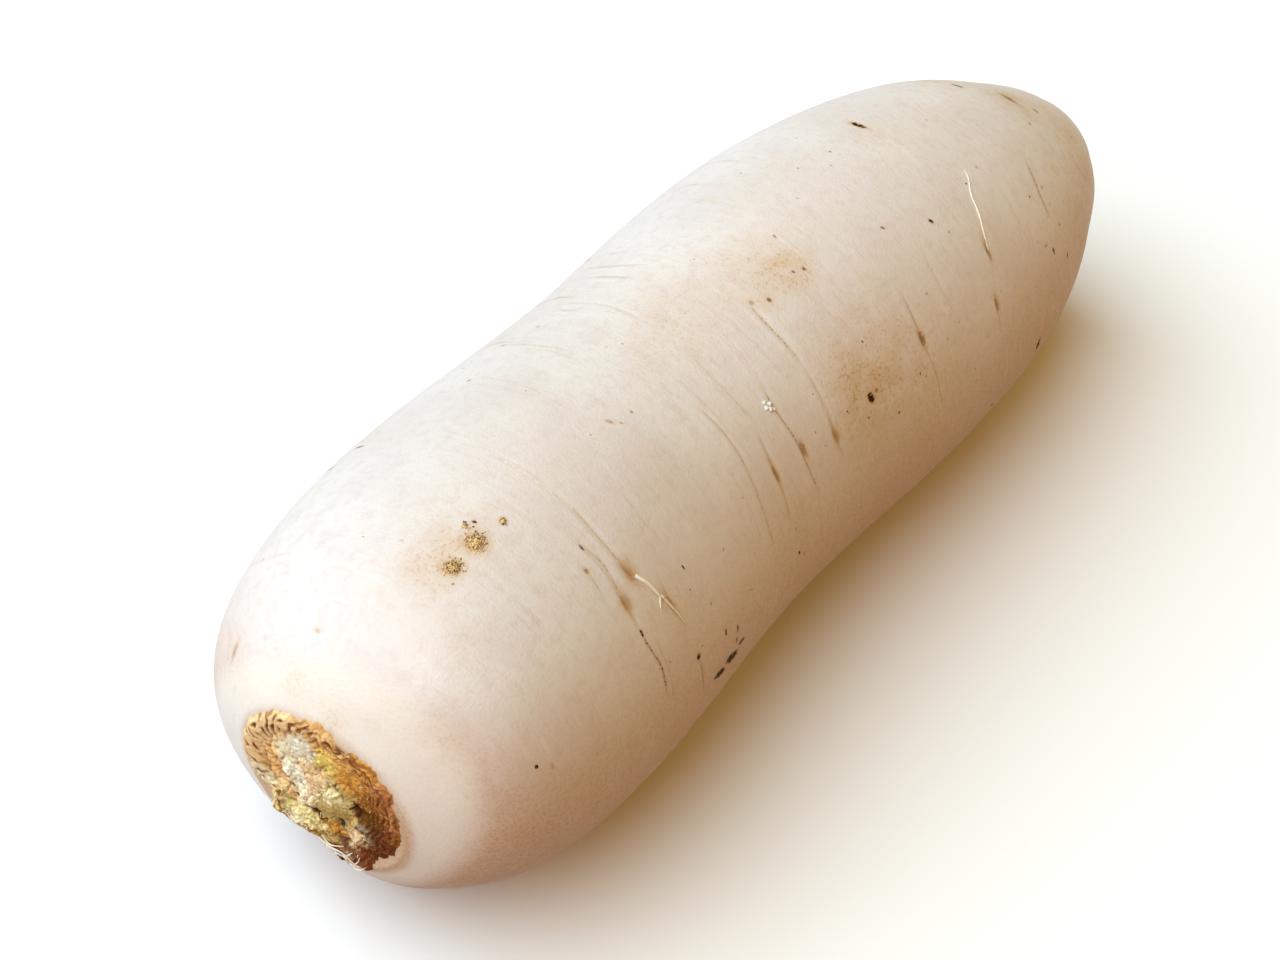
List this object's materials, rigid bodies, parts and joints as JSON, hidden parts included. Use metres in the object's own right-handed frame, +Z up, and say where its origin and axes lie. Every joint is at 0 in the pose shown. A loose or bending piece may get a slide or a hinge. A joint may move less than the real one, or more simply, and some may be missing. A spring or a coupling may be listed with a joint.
{
  "type": "daikon radish",
  "caption": "Whole short, thick white daikon radish lying on its side, with a cut leaf scar at the crown and a trimmed tail.",
  "frame": {"origin": "on the ground, under the centre of the root's bounding box", "axes": "+X along the root from the crown to the tail, +Z up from the ground"},
  "size_m": [0.2546, 0.0874, 0.0852],
  "materials": {
    "daikon_skin": "satin, slightly translucent white skin"
  },
  "bodies": {
    "root": {"daikon": "daikon_skin"}
  },
  "joints": []
}
